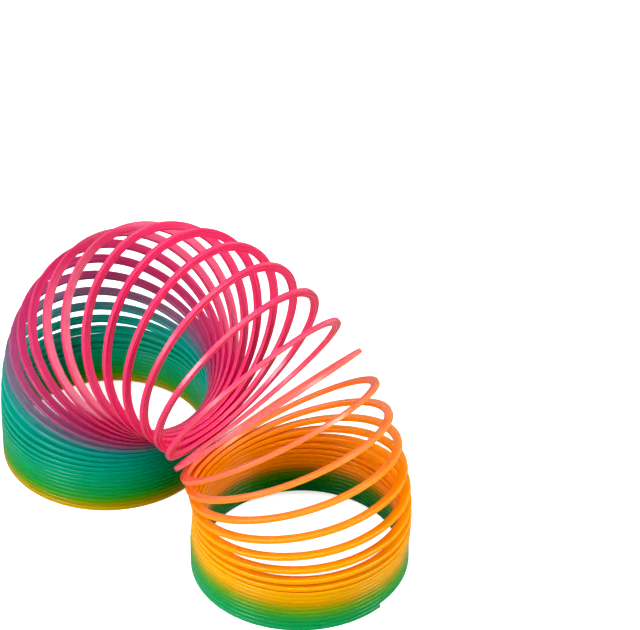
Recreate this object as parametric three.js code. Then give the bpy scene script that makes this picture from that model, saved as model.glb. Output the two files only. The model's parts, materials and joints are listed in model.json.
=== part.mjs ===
// Spring coil toy: one long flat plastic strand wound into a coil, standing bent over as an arch. A closed
// stack of turns stands in each foot, and the turns between them touch on the inside of the bend and fan
// open on the outside.
//
// Every turn is a node of its own. The cut between two turns lies on the inner line of the bend, where they
// touch, because the strand twists there when the coil bends. Each turn's group sits in the group of the
// turn before it, so a group's place and tilt are those of one joint of the coil.
import * as THREE from "three";

// ---- Driving dimensions: millimetres, turns and degrees ----

const COIL_DIAMETER = 75;
const STRAND_WIDTH = 3;
const STRAND_THICKNESS = 1.5;
const CLOSED_PITCH = 1.72;

// Where the coil is fully fanned, the turns need this much more room along the inner line.
const FAN_PITCH_GAIN = 0.15;

// The strand starts this share of a turn before its first turn, and ends half-way round its last turn.
const TURN_COUNT = 45;
const START_SHARE = 0.15;
const LAST_TURN_SHARE = 0.5;

const ARCH_BEND = 180;
const FAN_OPENING_TURNS = 13.5;
const FULL_FAN_TURNS = 4.5;
const FAN_CLOSING_TURNS = 11.3;

// Turns that would open by less than this share of the full fan stay closed, in a foot's stack.
const LEAST_FAN_SHARE = 0.02;

// The right foot leans outward: its stack shifts by this much per turn, over a few turns above the base.
const LEAN_PER_TURN = 0.2;
const LEAN_TURNS = 8;
const UPRIGHT_BASE_TURNS = 5;

// Each turn lies flat, and climbs to the next one over this share of a turn on each side of the cut.
const CLIMB_SHARE = 0.15;

// The first turn climbs earlier, between these shares, and so passes over the strand's own start. The climb then
// moves to the cut little by little, over this many turns.
const FIRST_CLIMB_FROM = 0.35;
const FIRST_CLIMB_TO = 0.85;
const CLIMB_SHIFT_TURNS = 12;
const CUT_GAP = 0.3;
const SEGMENTS_PER_TURN = 28;

// ---- Worked-out dimensions ----

const STRAND_RADIUS = (COIL_DIAMETER - STRAND_WIDTH) / 2;
const CUT_SHARE = CUT_GAP / 2 / (2 * Math.PI * STRAND_RADIUS);
const HINGE_COUNT = TURN_COUNT - 1;

// ---- The bend: how far each turn is fanned from the one before it ----

// Share of the full fan angle at a hinge, for a left stack with this many closed turns.
function fanShare(hinge, closedTurns) {
  const opening = THREE.MathUtils.smoothstep(hinge, closedTurns, closedTurns + FAN_OPENING_TURNS);
  const fallStart = closedTurns + FAN_OPENING_TURNS + FULL_FAN_TURNS;
  const closing = THREE.MathUtils.smoothstep(hinge, fallStart, fallStart + FAN_CLOSING_TURNS);
  const share = opening * (1 - closing);
  return share < LEAST_FAN_SHARE ? 0 : share;
}

// Shift across the coil from one turn of the right foot to the next one below it.
function leanAt(hinge) {
  const turnsAboveEnd = HINGE_COUNT - hinge;
  const leaning = turnsAboveEnd >= UPRIGHT_BASE_TURNS && turnsAboveEnd < UPRIGHT_BASE_TURNS + LEAN_TURNS;
  return leaning ? LEAN_PER_TURN : 0;
}

// Fan angle, rise and lean at each hinge. All the fan angles together make the arch's bend.
function bendCoil(closedTurns) {
  const shares = [];
  for (let hinge = 1; hinge <= HINGE_COUNT; hinge += 1) {
    shares.push(fanShare(hinge, closedTurns));
  }
  const total = shares.reduce((sum, share) => sum + share, 0);
  return shares.map((share, index) => ({
    fan: (ARCH_BEND * share) / total,
    rise: CLOSED_PITCH + FAN_PITCH_GAIN * share,
    lean: leanAt(index + 1),
  }));
}

// Height of the last turn's start above the first turn's start.
function climbOf(hinges) {
  let tilt = 0;
  let height = 0;
  for (const { fan, rise, lean } of hinges) {
    const tiltRadians = THREE.MathUtils.degToRad(tilt);
    height += rise * Math.cos(tiltRadians) - lean * Math.sin(tiltRadians);
    tilt += fan;
  }
  return height;
}

// The number of closed turns in the left foot that puts both feet on one floor, found by halving.
function levelFeet() {
  let low = 0;
  let high = HINGE_COUNT - FAN_OPENING_TURNS - FULL_FAN_TURNS - FAN_CLOSING_TURNS;
  while (high - low > 1e-9) {
    const middle = (low + high) / 2;
    if (climbOf(bendCoil(middle)) < CLOSED_PITCH) {
      low = middle;
    } else {
      high = middle;
    }
  }
  return (low + high) / 2;
}

// ---- Colours: the plastic changes colour along the strand ----

// The bands of dye, chosen by eye. Each is a turn, counted from the left foot, and the strand's colour there.
const COLOUR_STOPS = [
  [0, "#c8a020"],
  [2, "#609020"],
  [4, "#209040"],
  [12, "#109888"],
  [15.5, "#a85078"],
  [19, "#d83870"],
  [25, "#f05070"],
  [28, "#f48840"],
  [34, "#f4a418"],
  [37, "#d8a818"],
  [40, "#70a430"],
  [43, "#28a058"],
  [TURN_COUNT, "#28a058"],
];

function colourAt(turn) {
  const after = Math.max(1, COLOUR_STOPS.findIndex(([stop]) => stop >= turn));
  const [lowTurn, lowColour] = COLOUR_STOPS[after - 1];
  const [highTurn, highColour] = COLOUR_STOPS[after];
  const share = THREE.MathUtils.clamp((turn - lowTurn) / (highTurn - lowTurn), 0, 1);
  return new THREE.Color(lowColour).lerp(new THREE.Color(highColour), share);
}

// ---- One turn of the strand ----

// Height of the flat-lying strand in its turn's group, where the climb is at the cuts.
function heightWithClimbAtCuts(share, rise) {
  if (share < CLIMB_SHARE) {
    return (rise / 2) * Math.sin((Math.PI / 2) * (share / CLIMB_SHARE));
  }
  if (share > 1 - CLIMB_SHARE) {
    return rise - (rise / 2) * Math.sin((Math.PI / 2) * ((1 - share) / CLIMB_SHARE));
  }
  return rise / 2;
}

// Height of the strand in its turn's group.
function heightAt(turn, share, rise) {
  const climbed = THREE.MathUtils.smoothstep(share, FIRST_CLIMB_FROM, FIRST_CLIMB_TO);
  const heightInFirstTurn = rise / 2 + rise * climbed;
  const shift = THREE.MathUtils.clamp((turn + share) / CLIMB_SHIFT_TURNS, 0, 1);
  return THREE.MathUtils.lerp(heightInFirstTurn, heightWithClimbAtCuts(share, rise), shift);
}

// The four corners of the strand's section at a share of a turn, in order round it.
function sectionAt(turn, share, rise) {
  const angle = 2 * Math.PI * share;
  const height = heightAt(turn, share, rise);
  const corners = [
    [1, -1],
    [1, 1],
    [-1, 1],
    [-1, -1],
  ];
  return corners.map(([outward, upward]) => {
    const radius = STRAND_RADIUS + (outward * STRAND_WIDTH) / 2;
    return new THREE.Vector3(
      radius * Math.cos(angle) - STRAND_RADIUS,
      -radius * Math.sin(angle),
      height + (upward * STRAND_THICKNESS) / 2,
    );
  });
}

// A closed flat strand from one share of a turn to another. The turn's inner line is at the group's origin.
function strandGeometry(turn, startShare, endShare, rise) {
  const steps = Math.ceil((endShare - startShare) * SEGMENTS_PER_TURN);
  const points = [];
  for (let step = 0; step <= steps; step += 1) {
    const share = THREE.MathUtils.lerp(startShare, endShare, step / steps);
    points.push(...sectionAt(turn, share, rise));
  }
  const faces = [];
  for (let step = 0; step < steps; step += 1) {
    for (let corner = 0; corner < 4; corner += 1) {
      const near = 4 * step + corner;
      const nearNext = 4 * step + ((corner + 1) % 4);
      faces.push(near, nearNext, nearNext + 4);
      faces.push(near, nearNext + 4, near + 4);
    }
  }
  const last = 4 * steps;
  faces.push(0, 3, 2, 0, 2, 1);
  faces.push(last, last + 1, last + 2, last, last + 2, last + 3);
  const geometry = new THREE.BufferGeometry().setFromPoints(points);
  geometry.setIndex(faces);
  geometry.computeVertexNormals();
  return geometry;
}

// ---- Names: two stacks and the arch between them ----

function nameTurns(hinges) {
  const archFirst = hinges.findIndex(({ fan }) => fan > 0) + 1;
  const archLast = hinges.findLastIndex(({ fan }) => fan > 0) + 1;
  const names = [];
  for (let turn = 0; turn < TURN_COUNT; turn += 1) {
    if (turn < archFirst) {
      names.push(`left_stack_turn_${String(turn + 1).padStart(2, "0")}`);
    } else if (turn <= archLast) {
      names.push(`arch_turn_${String(turn - archFirst + 1).padStart(2, "0")}`);
    } else {
      names.push(`right_stack_turn_${String(turn - archLast).padStart(2, "0")}`);
    }
  }
  return names;
}

// ---- Assembly ----

function buildTurn(name, turn, rise) {
  const isFirst = turn === 0;
  const isLast = turn === TURN_COUNT - 1;
  const startShare = isFirst ? -START_SHARE : CUT_SHARE;
  const endShare = isLast ? LAST_TURN_SHARE : 1 - CUT_SHARE;
  const material = new THREE.MeshStandardMaterial({
    color: colourAt(turn),
    roughness: 0.38,
    metalness: 0,
    flatShading: true,
  });
  const mesh = new THREE.Mesh(strandGeometry(turn, startShare, endShare, rise), material);
  mesh.name = name;
  return mesh;
}

function buildCoil() {
  const hinges = bendCoil(levelFeet());
  const names = nameTurns(hinges);
  const coil = new THREE.Group();
  let group = new THREE.Group();
  coil.add(group);
  for (let turn = 0; turn < TURN_COUNT; turn += 1) {
    const hinge = hinges[turn];
    const rise = hinge ? hinge.rise : CLOSED_PITCH;
    group.add(buildTurn(names[turn], turn, rise));
    if (hinge) {
      const next = new THREE.Group();
      next.position.set(hinge.lean, 0, rise);
      next.rotation.y = THREE.MathUtils.degToRad(hinge.fan);
      group.add(next);
      group = next;
    }
  }
  return coil;
}

// Stands the coil on z = 0 with its length centred on x = 0.
const springCoil = buildCoil();
const extent = new THREE.Box3().setFromObject(springCoil, true);
springCoil.position.x = -(extent.min.x + extent.max.x) / 2;
springCoil.position.z = -extent.min.z;

const springCoilToy = new THREE.Group();
springCoilToy.add(springCoil);

export default springCoilToy;
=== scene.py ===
"""Looks of the spring coil toy: one long flat plastic strand, dyed in a rainbow along its length.

Two kinds of piece stand for the CAD turns. The outer half of each turn rides on that turn's body. The
inner half, where one turn runs into the next, is a link shaped at rest from one turn into the next, and
is put on no body.
"""

import json
import math

import bpy
import numpy as np
from mathutils import Matrix, Vector

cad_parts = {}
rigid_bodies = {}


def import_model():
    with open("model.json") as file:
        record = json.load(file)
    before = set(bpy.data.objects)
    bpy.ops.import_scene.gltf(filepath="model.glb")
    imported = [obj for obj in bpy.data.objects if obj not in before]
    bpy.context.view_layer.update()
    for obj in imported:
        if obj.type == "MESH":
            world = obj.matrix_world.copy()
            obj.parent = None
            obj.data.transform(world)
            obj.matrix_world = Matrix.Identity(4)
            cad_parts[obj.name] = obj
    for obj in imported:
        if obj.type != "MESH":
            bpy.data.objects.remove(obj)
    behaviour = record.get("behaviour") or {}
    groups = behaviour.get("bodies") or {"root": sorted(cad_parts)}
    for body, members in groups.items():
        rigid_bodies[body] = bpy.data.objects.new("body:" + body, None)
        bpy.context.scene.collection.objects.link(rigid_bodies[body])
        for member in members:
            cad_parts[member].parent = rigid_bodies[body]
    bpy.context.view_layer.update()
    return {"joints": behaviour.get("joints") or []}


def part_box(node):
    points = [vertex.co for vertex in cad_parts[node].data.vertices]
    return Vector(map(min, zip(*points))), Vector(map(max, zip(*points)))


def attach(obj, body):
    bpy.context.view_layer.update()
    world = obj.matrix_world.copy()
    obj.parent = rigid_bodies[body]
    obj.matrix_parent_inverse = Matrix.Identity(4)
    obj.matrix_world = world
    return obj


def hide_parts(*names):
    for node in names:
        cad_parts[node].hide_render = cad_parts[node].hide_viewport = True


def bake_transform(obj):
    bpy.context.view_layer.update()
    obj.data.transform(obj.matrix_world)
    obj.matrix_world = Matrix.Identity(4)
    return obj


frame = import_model()

# ---- The strand: metres, turns and shares of a turn ----

STRAND_RADIUS = 0.036
STRAND_WIDTH = 0.003
STRAND_THICKNESS = 0.00159
EDGE_RADIUS = 0.00026
CLOSED_PITCH = 0.00172

# The CAD's strand is a little thinner, so the looks lie higher by half of the difference, on the same floor.
CAD_THICKNESS = 0.0015
RAISED = np.array([0.0, 0.0, (STRAND_THICKNESS - CAD_THICKNESS) / 2])

# A turn starts and ends on the inner line of the bend, and climbs to the next one over this share of it at
# each end.
CLIMB_SHARE = 0.15

# The first turn climbs between these shares, as in the CAD, so that the strand's start has room below it. The
# climb then moves to the turns' ends little by little, over this many turns.
FIRST_CLIMB_FROM = 0.35
FIRST_CLIMB_TO = 0.85
CLIMB_SHIFT_TURNS = 12

# The outer part of a turn, between its two links.
OUTER_FROM = 0.25
OUTER_TO = 0.75

# The strand starts a little before its first turn, and ends half-way round its last turn.
START_SHARE = 0.15
LAST_TURN_SHARE = 0.5

STEPS_PER_TURN = 176
STEPS_PER_EDGE = 4

# ---- The dye: the strand's colour by height in the closed coil, in turns from the left foot's end, with some painted light ----

# Between these two turns, on the way to the right foot, the colour comes to differ from the rest. Outside, the
# dye is shifted by the offset and tilted by some turns to each side, most at the tilt's share of a turn. The
# shift fades to nothing on the inner side, which keeps the earlier, more orange colour: partly the dye's own
# tilt, partly painted light bounced from the orange walls. Inside, the colour is also darkened and saturated:
# painted shade.
RIGHT_FOOT_FROM = 26
RIGHT_FOOT_TO = 34
TILT_TURNS = 1.0
TILT_SHARE = 0.07
TILT_OFFSET = 0.25
INNER_PAINTED_SHADE = 0.8

# Each stop is a height in turns, and the colour there. They were chosen against the photo.
DYE_STOPS = [
    (0.0, "#c8a008"),
    (0.9, "#a58f06"),
    (1.8, "#6a920a"),
    (2.8, "#2f941c"),
    (4.2, "#129440"),
    (6.5, "#06965e"),
    (9.0, "#049872"),
    (12.0, "#049a82"),
    (13.5, "#0f978a"),
    (14.1, "#4a7e84"),
    # From 14.7 to 22 turns the stops carry a painted reflection besides the dye: their green is raised a
    # little, a pale glossy veil laid into the colour.
    (14.7, "#70687e"),
    (15.3, "#8c5474"),
    (16.0, "#a03c68"),
    (17.2, "#b62e60"),
    (19.0, "#ce3264"),
    (22.0, "#dc3466"),
    (25.3, "#e24068"),
    (26.2, "#f0606c"),
    (27.0, "#f07248"),
    (28.0, "#f08030"),
    (29.2, "#f09020"),
    (31.0, "#f29e10"),
    (33.5, "#f4a80a"),
    (36.6, "#f4aa0a"),
    (37.6, "#dc9e08"),
    (38.5, "#b29c0c"),
    (39.6, "#7a9c14"),
    (41.0, "#409a2c"),
    (42.5, "#169848"),
    (45.0, "#189c5c"),
]

# ---- The plastic's finish ----

# The grain is a fine noise, scaled over each piece's own box, which shifts the dye to both sides by up to half
# of this share of the coil. The lines' scale is round the strand, and along it per metre.
GRAIN_SCALE = 55
GRAIN_DETAIL = 2
GRAIN_DYE_SHIFT = 0.014
LINE_SCALE = (60, 25, 1)
LINE_DETAIL = 3
LINE_STRENGTH = 0.12
LINE_DEPTH = 0.00008
SMOOTHEST = 0.18
ROUGHEST = 0.34
REFRACTION = 1.49
SPECULAR_LEVEL = 0.45
SUBSURFACE_WEIGHT = 0.7
SUBSURFACE_RADIUS = (1.0, 0.4, 0.3)
SUBSURFACE_SCALE = 0.0018

# ---- Floor, surround and view ----

FLOOR_SIZE = 8
FLOOR_COLOUR = (0.92, 0.92, 0.92, 1)
FLOOR_ROUGHNESS = 0.9
FLOOR_GLOW = 0.62
WHITE = (1, 1, 1, 1)
HORIZON_BAND_TO = 0.05
SURROUND_FROM = 0.15
HORIZON_STRENGTH = 1.0
SURROUND_STRENGTH = 0.31
BLACK_LEVEL = 0.014

# Softboxes: name, azimuth and elevation in degrees, distance and size in metres, power in watts.
SOFTBOXES = (
    ("left_box", -8, 28, 1.0, (0.35, 0.5), 10.5),
    ("right_box", 114, 30, 1.0, (0.4, 0.5), 8.5),
    ("top_box", 0, 80, 1.1, (0.9, 0.9), 7.5),
)
LIGHTS_AIM = (0, 0, 0.04)

# The camera's target on the floor and its distance in metres, its angles in degrees, its lens in millimetres.
CAMERA_TARGET = (-0.0430, 0.10562, 0)
CAMERA_AZIMUTH = 43.05
CAMERA_ELEVATION = 37.48
CAMERA_ROLL = -0.12
CAMERA_DISTANCE = 1.6926
CAMERA_LENS = 258.75
CAMERA_SENSOR = 36
CAMERA_REACH = 20


def linear_rgb(code):
    """A #rrggbb colour as scene linear red, green, blue and alpha."""
    shares = [int(code[k : k + 2], 16) / 255 for k in (1, 3, 5)]
    return [s / 12.92 if s <= 0.04045 else ((s + 0.055) / 1.055) ** 2.4 for s in shares] + [1.0]


# ---- The coil at rest, read from the frame ----


class Turn:
    """One turn: its body's name, its number along the strand, where it starts and how far it is tilted."""

    def __init__(self, name, number, start, tilt):
        self.name = name
        self.number = number
        self.start = np.array(start, float)
        self.tilt = tilt
        self.across = np.array([math.cos(tilt), 0.0, -math.sin(tilt)])
        self.axis = np.array([math.sin(tilt), 0.0, math.cos(tilt)])
        self.rise = CLOSED_PITCH
        self.lean = 0.0
        self.fan = 0.0

    def placed(self, local):
        """Points of this turn's own frame, in the row frame."""
        return self.start + self.turned(local)

    def turned(self, local):
        """Directions of this turn's own frame, in the row frame."""
        sideways = np.array([0.0, 1.0, 0.0])
        return local[:, :1] * self.across + local[:, 1:2] * sideways + local[:, 2:] * self.axis


def lying_start(name, before, upward):
    """Start of a turn that lies flat in a foot's stack. upward is +1 in the left foot, -1 in the right."""
    low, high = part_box(name)
    inner = high.x - STRAND_WIDTH / 2 if upward > 0 else low.x + STRAND_WIDTH / 2
    return (inner, 0.0, before + upward * CLOSED_PITCH)


def read_turns(joints):
    """The turns in order along the strand. A hinge's range is how far its turn is fanned open at rest."""
    onward = {joint["parent"]: joint for joint in joints}
    first = (set(onward) - {joint["child"] for joint in joints}).pop()
    below_first = (STRAND_THICKNESS - 3 * CLOSED_PITCH) / 2
    turns = [Turn(first, 0, lying_start(first, below_first, 1), 0.0)]
    while turns[-1].name in onward:
        joint = onward[turns[-1].name]
        name, tilt = joint["child"], turns[-1].tilt
        if joint["type"] == "hinge":
            tilt -= math.radians(joint["range_deg"][0])
            start = joint["pos_m"] + RAISED
        else:
            start = lying_start(name, turns[-1].start[2], math.copysign(1, math.cos(tilt)))
        turns.append(Turn(name, len(turns), start, tilt))
    for turn, after in zip(turns, turns[1:]):
        step = after.start - turn.start
        turn.rise = step @ turn.axis
        turn.lean = step @ turn.across
        turn.fan = after.tilt - turn.tilt
    return turns


turns = read_turns(frame["joints"])
turn_count = len(turns)

# ---- The strand's section, and the strand itself ----


def section_outline():
    """Offsets (outward, upward) and normals round the strand's section, a rectangle with rounded edges."""
    half_width, half_thickness = STRAND_WIDTH / 2, STRAND_THICKNESS / 2
    offsets, normals = [], []
    for quarter in range(4):
        corner = math.radians(90 * quarter + 45)
        centre = (
            math.copysign(half_width - EDGE_RADIUS, math.cos(corner)),
            math.copysign(half_thickness - EDGE_RADIUS, math.sin(corner)),
        )
        for step in range(STEPS_PER_EDGE + 1):
            angle = math.radians(90 * quarter + 90 * step / STEPS_PER_EDGE)
            normals.append((math.cos(angle), math.sin(angle)))
            offsets.append([c + EDGE_RADIUS * n for c, n in zip(centre, normals[-1])])
    return np.array(offsets), np.array(normals)


OUTLINE, OUTLINE_NORMALS = section_outline()


def smooth(share):
    return share * share * (3 - 2 * share)


def strand_height(turn, share):
    """Height of the strand along a turn, above the turn's start."""
    rise = turn.rise
    ends = np.sin(math.pi / 2 * np.minimum(1, np.minimum(share, 1 - share) / CLIMB_SHARE))
    climb_at_ends = np.where(share < 0.5, rise / 2 * ends, rise - rise / 2 * ends)
    climbed = smooth(np.clip((share - FIRST_CLIMB_FROM) / (FIRST_CLIMB_TO - FIRST_CLIMB_FROM), 0, 1))
    in_first_turn = rise / 2 + rise * climbed
    shift = np.clip((turn.number + share) / CLIMB_SHIFT_TURNS, 0, 1)
    return in_first_turn + (climb_at_ends - in_first_turn) * shift


def right_foot_dye_and_painted_light(turn, shares):
    """Shift of the dye along the strand, in turns, outside only, and the weight of the painted shade inside,
    both towards the right foot only.
    """
    past_start = (turn.number + shares - RIGHT_FOOT_FROM) / (RIGHT_FOOT_TO - RIGHT_FOOT_FROM)
    towards = smooth(np.clip(past_start, 0, 1))
    outward = 0.5 + OUTLINE[None, :, 0] / STRAND_WIDTH
    shift = TILT_OFFSET + TILT_TURNS * np.cos(2 * math.pi * (shares - TILT_SHARE))
    return (towards * shift)[:, None] * outward, INNER_PAINTED_SHADE * towards[:, None] * (1 - outward)


def strand_arrays(turn, from_share, to_share):
    """Points, normals, dye heights, painted inner shade and lengths along a stretch of strand, station by
    station.

    Shares above 1 are in the next turn. On the way, the strand twists from one turn's tilt to the next one's,
    by a weight that grows smoothly across the link.
    """
    steps = max(1, round((to_share - from_share) * STEPS_PER_TURN))
    shares = np.linspace(from_share, to_share, steps + 1)
    after = turns[min(turn.number + 1, turn_count - 1)]
    height = np.where(
        shares <= 1,
        strand_height(turn, np.minimum(shares, 1)),
        turn.rise + strand_height(after, np.maximum(shares - 1, 0)),
    )
    angle = 2 * math.pi * shares[:, None]
    radius = STRAND_RADIUS + OUTLINE[None, :, 0]
    x = radius * np.cos(angle) - STRAND_RADIUS
    y = -radius * np.sin(angle)
    z = height[:, None] + OUTLINE[None, :, 1]
    normal_x = OUTLINE_NORMALS[None, :, 0] * np.cos(angle)
    normal_y = -OUTLINE_NORMALS[None, :, 0] * np.sin(angle)
    normal_z = np.broadcast_to(OUTLINE_NORMALS[None, :, 1], normal_x.shape)
    if to_share > 1:
        weight = smooth(np.clip((STRAND_RADIUS - y) / (2 * STRAND_RADIUS), 0, 1))
        cos, sin = np.cos(weight * turn.fan), np.sin(weight * turn.fan)
        z = z - turn.rise
        x, z = x * cos + z * sin + weight * turn.lean, z * cos - x * sin + turn.rise
        normal_x, normal_z = normal_x * cos + normal_z * sin, normal_z * cos - normal_x * sin
    points = turn.placed(np.stack([x.ravel(), y.ravel(), z.ravel()], 1))
    normals = turn.turned(np.stack([normal_x.ravel(), normal_y.ravel(), normal_z.ravel()], 1))
    shift, inner_shade = right_foot_dye_and_painted_light(turn, shares)
    dye = turn.number + shares[:, None] + OUTLINE[None, :, 1] / CLOSED_PITCH + shift
    length = np.repeat((turn.number + shares) * 2 * math.pi * STRAND_RADIUS, len(OUTLINE))
    return points, normals, dye.ravel() / turn_count, inner_shade.ravel(), length


def strand_piece(name, turn, from_share, to_share, closed_start=False, closed_end=False):
    """A mesh of one stretch of strand. Its ends are open where the next piece carries on."""
    points, normals, dye, inner_shade, length = strand_arrays(turn, from_share, to_share)
    ring = len(OUTLINE)
    stations = len(points) // ring
    faces = []
    for station in range(stations - 1):
        for k in range(ring):
            near, onward = station * ring + k, station * ring + (k + 1) % ring
            faces.append((near, onward, onward + ring, near + ring))
    side_faces = len(faces)
    if closed_start:
        faces.append(tuple(reversed(range(ring))))
    if closed_end:
        faces.append(tuple(range((stations - 1) * ring, stations * ring)))
    mesh = bpy.data.meshes.new(name)
    mesh.from_pydata(points.tolist(), [], faces)
    mesh.shade_smooth()
    around = np.tile(np.arange(ring) / ring, stations)
    painted = {"dye": dye, "dye_depth": inner_shade, "strand_length": length, "strand_around": around}
    for key, values in painted.items():
        mesh.attributes.new(key, "FLOAT", "POINT").data.foreach_set("value", values.astype(np.float32))
    loop_normals = [Vector(normals[loop.vertex_index]) for loop in mesh.loops]
    for polygon in mesh.polygons[side_faces:]:
        for index in polygon.loop_indices:
            loop_normals[index] = polygon.normal
    mesh.normals_split_custom_set(loop_normals)
    mesh.materials.append(plastic)
    piece = bpy.data.objects.new(name, mesh)
    bpy.context.scene.collection.objects.link(piece)
    return piece


# ---- Plastic ----


def node(tree, kind, **settings):
    made = tree.nodes.new(kind)
    for key, value in settings.items():
        setattr(made, key, value)
    return made


def make_plastic():
    """Dyed plastic with a satin gloss: colour by dye height with a fine grain, painted shade on the right
    foot's inner side, and lines along the strand.
    """
    material = bpy.data.materials.new("dyed_plastic")
    material.use_nodes = True
    tree = material.node_tree
    link = tree.links.new
    shader = tree.nodes["Principled BSDF"]

    dye = node(tree, "ShaderNodeAttribute", attribute_name="dye")
    grain = node(tree, "ShaderNodeTexNoise")
    grain.inputs["Scale"].default_value = GRAIN_SCALE
    grain.inputs["Detail"].default_value = GRAIN_DETAIL
    wander = node(tree, "ShaderNodeMath", operation="MULTIPLY_ADD")
    wander.inputs[1].default_value = GRAIN_DYE_SHIFT
    wander.inputs[2].default_value = -GRAIN_DYE_SHIFT / 2
    link(grain.outputs["Fac"], wander.inputs[0])
    place = node(tree, "ShaderNodeMath", operation="ADD")
    link(dye.outputs["Fac"], place.inputs[0])
    link(wander.outputs[0], place.inputs[1])
    ramp = node(tree, "ShaderNodeValToRGB")
    ramp.color_ramp.interpolation = "LINEAR"
    for index, (height, code) in enumerate(DYE_STOPS):
        if index < 2:
            stop = ramp.color_ramp.elements[index]
            stop.position = height / turn_count
        else:
            stop = ramp.color_ramp.elements.new(height / turn_count)
        stop.color = linear_rgb(code)
    link(place.outputs[0], ramp.inputs["Fac"])
    # Painted shade: on the right foot's inner side the colour is multiplied by itself, darker and more
    # saturated.
    inner_shade = node(tree, "ShaderNodeAttribute", attribute_name="dye_depth")
    paint_inner_shade = node(tree, "ShaderNodeMix", data_type="RGBA", blend_type="MULTIPLY")
    link(inner_shade.outputs["Fac"], paint_inner_shade.inputs["Factor"])
    link(ramp.outputs["Color"], paint_inner_shade.inputs["A"])
    link(ramp.outputs["Color"], paint_inner_shade.inputs["B"])
    link(paint_inner_shade.outputs["Result"], shader.inputs["Base Color"])

    # Fine lines that run along the strand, from its section coordinate and length.
    around = node(tree, "ShaderNodeAttribute", attribute_name="strand_around")
    along = node(tree, "ShaderNodeAttribute", attribute_name="strand_length")
    strand = node(tree, "ShaderNodeCombineXYZ")
    link(around.outputs["Fac"], strand.inputs["X"])
    link(along.outputs["Fac"], strand.inputs["Y"])
    stretch = node(tree, "ShaderNodeMapping")
    stretch.inputs["Scale"].default_value = LINE_SCALE
    link(strand.outputs[0], stretch.inputs["Vector"])
    lines = node(tree, "ShaderNodeTexNoise")
    lines.inputs["Scale"].default_value = 1
    lines.inputs["Detail"].default_value = LINE_DETAIL
    link(stretch.outputs[0], lines.inputs["Vector"])

    gloss = node(tree, "ShaderNodeMapRange")
    gloss.inputs["To Min"].default_value = SMOOTHEST
    gloss.inputs["To Max"].default_value = ROUGHEST
    link(lines.outputs["Fac"], gloss.inputs["Value"])
    link(gloss.outputs[0], shader.inputs["Roughness"])

    bump = node(tree, "ShaderNodeBump")
    bump.inputs["Strength"].default_value = LINE_STRENGTH
    bump.inputs["Distance"].default_value = LINE_DEPTH
    link(lines.outputs["Fac"], bump.inputs["Height"])
    link(bump.outputs[0], shader.inputs["Normal"])

    shader.inputs["IOR"].default_value = REFRACTION
    shader.inputs["Specular IOR Level"].default_value = SPECULAR_LEVEL
    shader.inputs["Subsurface Weight"].default_value = SUBSURFACE_WEIGHT
    shader.inputs["Subsurface Radius"].default_value = SUBSURFACE_RADIUS
    shader.inputs["Subsurface Scale"].default_value = SUBSURFACE_SCALE
    return material


plastic = make_plastic()

# ---- Pieces ----

for turn in turns:
    is_first, is_last = turn.number == 0, turn.number == turn_count - 1
    from_share = -START_SHARE if is_first else OUTER_FROM
    to_share = LAST_TURN_SHARE if is_last else OUTER_TO
    outer = strand_piece(turn.name + "_strand", turn, from_share, to_share, is_first, is_last)
    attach(outer, turn.name)
    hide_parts(turn.name)
    if not is_last:
        bend = strand_piece(turn.name + "_link", turn, OUTER_TO, 1 + OUTER_FROM)
        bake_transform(bend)

# ---- Floor, light and camera ----


def make_floor():
    """A pale floor with a faint glow, which the toy's own diffuse and glossy rays don't see."""
    bpy.ops.mesh.primitive_plane_add(size=FLOOR_SIZE, location=(0, 0, 0))
    floor = bpy.context.object
    floor.name = "floor"
    material = bpy.data.materials.new("pale_floor")
    material.use_nodes = True
    shader = material.node_tree.nodes["Principled BSDF"]
    shader.inputs["Base Color"].default_value = FLOOR_COLOUR
    shader.inputs["Roughness"].default_value = FLOOR_ROUGHNESS
    shader.inputs["Specular IOR Level"].default_value = 0.0
    shader.inputs["Emission Color"].default_value = WHITE
    shader.inputs["Emission Strength"].default_value = FLOOR_GLOW
    floor.data.materials.append(material)
    floor.visible_diffuse = False
    floor.visible_glossy = False


def direction_to(azimuth, elevation):
    """The direction from the toy to a viewer. An azimuth of 0 is one who looks along +Y."""
    a, e = math.radians(azimuth), math.radians(elevation)
    return Vector((math.sin(a) * math.cos(e), -math.cos(a) * math.cos(e), math.sin(e)))


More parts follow.
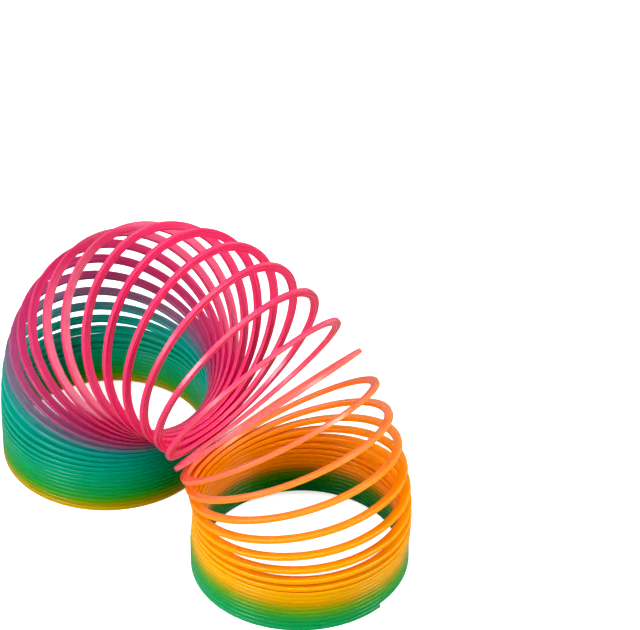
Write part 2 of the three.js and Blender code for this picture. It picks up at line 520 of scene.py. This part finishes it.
def make_softbox(name, azimuth, elevation, distance, size, watts):
    """A rectangular softbox that faces the middle of the toy."""
    lamp = bpy.data.lights.new(name, "AREA")
    lamp.shape = "RECTANGLE"
    lamp.size, lamp.size_y = size
    lamp.energy = watts
    back = direction_to(azimuth, elevation)
    made = bpy.data.objects.new(name, lamp)
    made.location = Vector(LIGHTS_AIM) + back * distance
    made.rotation_euler = back.to_track_quat("Z", "Y").to_euler()
    bpy.context.scene.collection.objects.link(made)


def make_camera():
    """The camera looks at a point on the floor, from the photo's angle."""
    data = bpy.data.cameras.new("camera")
    data.sensor_fit = "HORIZONTAL"
    data.sensor_width = CAMERA_SENSOR
    data.lens = CAMERA_LENS
    data.clip_end = CAMERA_REACH
    back = direction_to(CAMERA_AZIMUTH, CAMERA_ELEVATION)
    camera = bpy.data.objects.new("camera", data)
    camera.location = Vector(CAMERA_TARGET) + back * CAMERA_DISTANCE
    level = (-back).to_track_quat("-Z", "Y").to_matrix()
    camera.rotation_euler = (level @ Matrix.Rotation(math.radians(CAMERA_ROLL), 3, "Z")).to_euler()
    bpy.context.scene.collection.objects.link(camera)
    bpy.context.scene.camera = camera


def make_studio():
    """A dim, even surround with a white band at the horizon, so that the pale floor runs on into it."""
    world = bpy.data.worlds.new("studio")
    world.use_nodes = True
    tree = world.node_tree
    background = tree.nodes["Background"]
    background.inputs["Color"].default_value = WHITE
    direction = node(tree, "ShaderNodeTexCoord")
    parts = node(tree, "ShaderNodeSeparateXYZ")
    from_horizon = node(tree, "ShaderNodeMath", operation="ABSOLUTE")
    fade = node(tree, "ShaderNodeMapRange")
    fade.inputs["From Min"].default_value = HORIZON_BAND_TO
    fade.inputs["From Max"].default_value = SURROUND_FROM
    fade.inputs["To Min"].default_value = HORIZON_STRENGTH
    fade.inputs["To Max"].default_value = SURROUND_STRENGTH
    tree.links.new(direction.outputs["Generated"], parts.inputs[0])
    tree.links.new(parts.outputs["Z"], from_horizon.inputs[0])
    tree.links.new(from_horizon.outputs[0], fade.inputs["Value"])
    tree.links.new(fade.outputs[0], background.inputs["Strength"])
    bpy.context.scene.world = world


def set_view():
    """A plain view with the black point set a little above zero, as in a product photograph."""
    view = bpy.context.scene.view_settings
    view.view_transform = "Standard"
    view.use_curve_mapping = True
    view.curve_mapping.black_level = [BLACK_LEVEL] * 3
    view.curve_mapping.update()


make_floor()
for softbox in SOFTBOXES:
    make_softbox(*softbox)
make_studio()
set_view()
make_camera()
